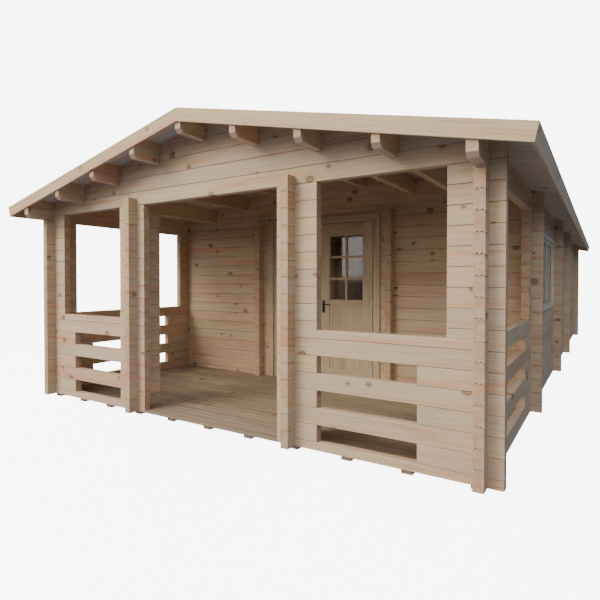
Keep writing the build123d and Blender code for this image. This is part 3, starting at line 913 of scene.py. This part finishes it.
def door_leaf(side, mirror):
    body = f"{side}_leaf"
    leaf = Timbers(f"door_leaf_{side}_joinery", door_wood, "joinery", body)
    depth = leaf_high.y - leaf_low.y
    inner0 = pane_low.x
    inner1 = pane_high.x
    y = leaf_low.y
    for n, (x0, x1) in enumerate(((leaf_low.x, inner0), (inner1, leaf_high.x))):
        add_board(leaf, mirror @ upright(x0, y), f"stile {side} {n}", leaf_low.z, leaf_high.z, 0.0, x1 - x0,
                  0.0, depth)
    panel_top = pane_low.z - lock_rail
    panel_low = leaf_low.z + door_panel_low
    rails = ((leaf_low.z, panel_low), (panel_top, pane_low.z), (pane_high.z, leaf_high.z))
    for n, (z0, z1) in enumerate(rails):
        add_board(leaf, mirror @ along_x(y), f"rail {side} {n}", inner0, inner1, 0.0, depth, z0, z1)
    width = (inner1 - inner0) / panel_boards
    for n in range(panel_boards):
        add_board(leaf, mirror @ upright(inner0 + n * width, y), f"panel {side} {n}", panel_low, panel_top,
                  panel_gap / 2, width - panel_gap / 2, panel_recess, depth - panel_recess, panel_groove)
    leaf.finish(f"door_leaf_{side}")

    bars = Timbers(f"door_bars_{side}", door_wood, "joinery", body)
    middle = (inner0 + inner1) / 2
    height = (pane_high.z - pane_low.z) / sash_rows
    for face, y0 in (("out", pane_low.y - bar_thick), ("in", pane_high.y)):
        add_board(bars, mirror @ upright(middle - bar_width / 2, y0), f"bar {side} {face}", pane_low.z,
                  pane_high.z, 0.0, bar_width, 0.0, bar_thick, soft_bevel)
        spans = ((inner0, middle - bar_width / 2), (middle + bar_width / 2, inner1))
        for row in range(1, sash_rows):
            z = pane_low.z + row * height
            for n, (x0, x1) in enumerate(spans):
                add_board(bars, mirror @ along_x(y0), f"bar {side} {face} {row} {n}", x0, x1, 0.0, bar_thick,
                          z - bar_width / 2, z + bar_width / 2, soft_bevel)
        for n, z in enumerate((pane_low.z, pane_high.z - bead)):
            add_board(bars, mirror @ along_x(y0), f"bead {side} {face} {n}", inner0, inner1, 0.0, bar_thick,
                      z, z + bead, soft_bevel)
        for n, x in enumerate((inner0, inner1 - bead)):
            add_board(bars, mirror @ upright(x, y0), f"bead up {side} {face} {n}", pane_low.z, pane_high.z,
                      0.0, bead, 0.0, bar_thick, soft_bevel)
    bars.finish()


# Windows
def windows():
    frames = Timbers("window_frame_boards", window_wood, "joinery")
    low, high = window_low, window_high
    x0 = side_out - window_frame_back
    depth = high.x - x0
    middle = (low.y + high.y) / 2
    w = window_frame_width
    faces = (("out", window_face), ("in", window_face - window_pane_thick - sash_thick))
    for side, mirror in sides.items():
        for n, z in enumerate((low.z, high.z - w)):
            add_board(frames, mirror @ along_y(x0), f"window rail {side} {n}", low.y, high.y, 0.0, depth, z,
                      z + w, soft_bevel)
        for n, y in enumerate((low.y, high.y - w)):
            add_board(frames, mirror @ upright(x0, y), f"window stile {side} {n}", low.z + w, high.z - w, 0.0,
                      depth, 0.0, w, soft_bevel)
        add_board(frames, mirror @ upright(x0, middle - sash_width), f"mullion {side}", low.z + w, high.z - w,
                  0.0, window_face - x0, 0.0, 2 * sash_width, soft_bevel)
        for half, (y0, y1) in enumerate(((low.y + w, middle), (middle, high.y - w))):
            near = y0 + sash_gap
            far = y1 - sash_gap
            for face, x in faces:
                key = f"{side} {half} {face}"
                for n, z in enumerate((low.z + w, high.z - w - sash_width)):
                    add_board(frames, mirror @ along_y(x), f"sash rail {key} {n}", near, far, 0.0, sash_thick,
                              z, z + sash_width, soft_bevel)
                for n, y in enumerate((near, far - sash_width)):
                    add_board(frames, mirror @ upright(x, y), f"sash stile {key} {n}", low.z + w + sash_width,
                              high.z - w - sash_width, 0.0, sash_thick, 0.0, sash_width, soft_bevel)
    frames.finish("window_frames")


# Door furniture
def smooth_tube(name, path, radius, material, body):
    """Round bar along a path."""
    curve = bpy.data.curves.new(name, "CURVE")
    curve.dimensions = "3D"
    curve.bevel_depth = radius
    curve.bevel_resolution = 5
    curve.use_fill_caps = True
    spline = curve.splines.new("NURBS")
    spline.points.add(len(path) - 1)
    for point, place in zip(spline.points, path):
        point.co = (*place, 1.0)
    spline.use_endpoint_u = True
    spline.order_u = 3
    made = bpy.data.objects.new(name, curve)
    bpy.context.scene.collection.objects.link(made)
    mesh = bpy.data.meshes.new_from_object(made)
    bpy.data.objects.remove(made)
    mesh.materials.clear()
    mesh.materials.append(material)
    for polygon in mesh.polygons:
        polygon.use_smooth = True
    return link_piece(name, mesh, body)


def handle():
    """Lever with a grip on each side of the leaf, and the two plates that carry it."""
    x = (plate_low.x + plate_high.x) / 2
    z = (lever_low.z + lever_high.z) / 2
    for n, (y0, y1) in enumerate(((leaf_low.y, lever_low.y), (leaf_high.y, lever_high.y))):
        out = y1 + grip_radius if y1 < y0 else y1 - grip_radius
        path = [(x, y0, z), (x, (y0 + out) / 2, z), (x, out, z), (x + grip_bend, out, z),
                (x + grip_straight, out, z), (lever_high.x - grip_bend, out, z),
                (lever_high.x - grip_end, out, z)]
        name = f"door_lever_grip_{n}"
        smooth_tube(name, path, grip_radius, handle_metal, "lever")
    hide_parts("door_lever")

    plates = Timbers("handle_plate_pair", handle_metal, "handle_metal", "right_leaf")
    depth = leaf_low.y - plate_low.y
    for n, y in enumerate((plate_low.y, leaf_high.y)):
        add_board(plates, upright(plate_low.x, y), f"plate {n}", plate_low.z, plate_high.z, 0.0,
                  plate_high.x - plate_low.x, 0.0, depth, plate_bevel)
    plates.finish("handle_plates")


def set_material(material, *nodes):
    """Gives nodes that show as they are a material."""
    for node in nodes:
        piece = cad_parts[node]
        piece.data.materials.clear()
        piece.data.materials.append(material)


# The whole cabin
for side, mirror in sides.items():
    front_wall(side, mirror)
    side_wall(side, mirror)
    roof_boards(side, mirror)
    door_leaf(side, mirror)
front_rails()
cross_log_stacks("post", front_y - log_end, front_y + log_thick + post_log_inside)
gable("front_gable_logs", "front_gable", "front gable", front_y, front_head)
side_rails()
cross_log_ends()
back_wall()
gable("rear_wall_logs", "rear_wall", "rear", rear_y - log_thick, wall_base)
eave_logs()
purlins()
fascias()
joists()
floor_boards("veranda_deck")
floor_boards("room_floor")
door_surround()
windows()
handle()
set_material(glass_clear, "door_glass_left", "door_glass_right", "window_glass")
set_material(hinge_metal, "hinge_pins", "hinge_knuckles_left", "hinge_knuckles_right")


# Floor, light and camera
bowl_radius = 70.0
bowl_curve = 25.0
bowl_glow = 7.0
bowl_sides = 48
bowl_curve_steps = 8
bowl_noise = (0.4, 0.4, 0.4)
bowl_pale = (0.80, 0.80, 0.80, 1.0)
bowl_paler = (0.84, 0.84, 0.84, 1.0)

sky_dim = (0.28, 0.395, 0.58, 1.0)
sky_bright = (2.05, 1.92, 1.82, 1.0)
sky_below = (0.095, 0.102, 0.122, 1.0)
sky_deep = (0.38, 0.44, 0.72, 1.0)
sky_deep_right = (0.25, 0.27, 0.30, 1.0)
sky_front = 1.1
sky_behind = 0.75
glow_direction = Vector((-0.60, -0.68, 0.42)).normalized()

# Ranges over which the sky changes: towards its glow, at the horizon, down, to the right and behind
sky_glow_range = (0.1, 1.0)
sky_horizon_range = (-0.005, 0.02)
sky_deep_range = (-0.3, -0.9)
sky_right_range = (-0.2, 0.3)
sky_behind_range = (-0.4, 0.6)

veranda_middle = Vector((0.0, -4.0, 1.0))
key_place = veranda_middle + Vector((-0.42, -0.78, 0.58)).normalized() * 17.0
fill_place = veranda_middle + Vector((0.62, -0.52, 0.59)).normalized() * 16.0
rear_middle = Vector((0.0, 2.0, 1.0))
back_place = rear_middle + Vector((-0.38, 0.84, 0.38)).normalized() * 17.0
room_tint = (1.0, 0.95, 0.9)

# Each lamp's name, place, target, size, power and tint, and whether it shows in glass and gloss
lamps = [("key", key_place, veranda_middle, 9.0, 2160.0, (1.0, 0.93, 0.83), True),
         ("fill", fill_place, veranda_middle, 8.0, 230.0, (1.0, 0.97, 0.92), True),
         ("back", back_place, rear_middle, 9.0, 600.0, (1.0, 0.97, 0.94), False),
         ("room_fill", (-0.6, 1.5, 2.0), (-0.6, 1.5, 0.0), 2.5, 9.0, room_tint, False),
         ("veranda_fill", (0.0, -4.4, 0.2), (0.0, -4.4, 2.0), 3.0, 3.0, room_tint, False)]

camera_place = (3.181, -8.704, 1.410)
camera_pitch = -0.899
camera_yaw = 32.449
camera_lens = 28.49
camera_sensor = 36.0
camera_shift = (-0.0019, -0.0183)
camera_far = 200.0


def studio_bowl():
    """Pale floor that curves up into a backdrop all round; it throws no light back on the cabin."""
    g = surface("studio_floor")
    place = g.node("ShaderNodeTexCoord").outputs["Object"]
    shade = g.noise(place, bowl_noise, 2.0)
    g.put(g.shader.inputs["Base Color"], g.blend(g.between(shade, 0.3, 0.7), bowl_pale, bowl_paler))
    g.put(g.shader.inputs["Roughness"], 0.9)
    g.put(g.shader.inputs["Emission Color"], (1.0, 1.0, 1.0, 1.0))
    g.put(g.shader.inputs["Emission Strength"], bowl_glow)
    flat = bowl_radius - bowl_curve
    profile = [(flat, 0.0)]
    for n in range(1, bowl_curve_steps + 1):
        turn = n / bowl_curve_steps * pi / 2
        profile.append((flat + bowl_curve * sin(turn), bowl_curve * (1 - cos(turn))))
    profile.append((bowl_radius, 2 * bowl_curve))
    rows = len(profile)
    verts = []
    for n in range(bowl_sides):
        turn = 2 * pi * n / bowl_sides
        verts += [(r * cos(turn), r * sin(turn), z) for r, z in profile]
    faces = [[n * rows for n in range(bowl_sides)]]
    for n in range(bowl_sides):
        a = n * rows
        b = (n + 1) % bowl_sides * rows
        faces += [(a + k, a + k + 1, b + k + 1, b + k) for k in range(rows - 1)]
    mesh = bpy.data.meshes.new("studio_floor")
    mesh.from_pydata(verts, [], faces)
    mesh.materials.append(g.owner)
    bowl = bpy.data.objects.new("studio_floor", mesh)
    bpy.context.scene.collection.objects.link(bowl)
    bowl.visible_diffuse = False
    bowl.visible_glossy = False
    bowl.visible_transmission = False


def sky():
    """Soft studio surround: bright towards the front left, cool elsewhere, dim below the horizon."""
    g = Graph(bpy.data.worlds.new("studio"), "ShaderNodeBackground", "ShaderNodeOutputWorld")
    towards = g.node("ShaderNodeTexCoord").outputs["Generated"]
    facing = g.node("ShaderNodeVectorMath", operation="DOT_PRODUCT")
    g.put(facing.inputs[0], towards)
    g.put(facing.inputs[1], glow_direction)
    glow = g.between(facing.outputs["Value"], *sky_glow_range)
    parts = g.node("ShaderNodeSeparateXYZ")
    g.put(parts.inputs[0], towards)
    right, back, up = parts.outputs
    above = g.between(up, *sky_horizon_range)
    upper = g.blend(glow, sky_dim, sky_bright)
    deep = g.blend(g.between(right, *sky_right_range), sky_deep, sky_deep_right)
    lower = g.blend(g.between(up, *sky_deep_range), sky_below, deep)
    behind = g.between(back, *sky_behind_range, sky_front, sky_behind)
    g.put(g.shader.inputs["Color"], g.scaled(g.blend(above, lower, upper), behind))
    bpy.context.scene.world = g.owner


def area_light(name, place, target, size, power, tint, seen):
    """Round lamp; a lamp that is not seen lights surfaces but shows in no glass or gloss."""
    light = bpy.data.lights.new(name, "AREA")
    light.shape = "DISK"
    light.size = size
    light.energy = power
    light.color = tint
    lamp = bpy.data.objects.new(name, light)
    lamp.location = place
    lamp.rotation_euler = (Vector(target) - Vector(place)).to_track_quat("-Z", "Y").to_euler()
    lamp.visible_glossy = seen
    lamp.visible_transmission = seen
    bpy.context.scene.collection.objects.link(lamp)


def camera():
    """Camera at the photograph's place and angle."""
    lens = bpy.data.cameras.new("camera")
    lens.lens = camera_lens
    lens.sensor_width = camera_sensor
    lens.shift_x, lens.shift_y = camera_shift
    lens.clip_end = camera_far
    eye = bpy.data.objects.new("camera", lens)
    eye.location = camera_place
    eye.rotation_euler = (radians(90 + camera_pitch), 0.0, radians(camera_yaw))
    bpy.context.scene.collection.objects.link(eye)
    bpy.context.scene.camera = eye


studio_bowl()
sky()
for lamp in lamps:
    area_light(*lamp)
camera()
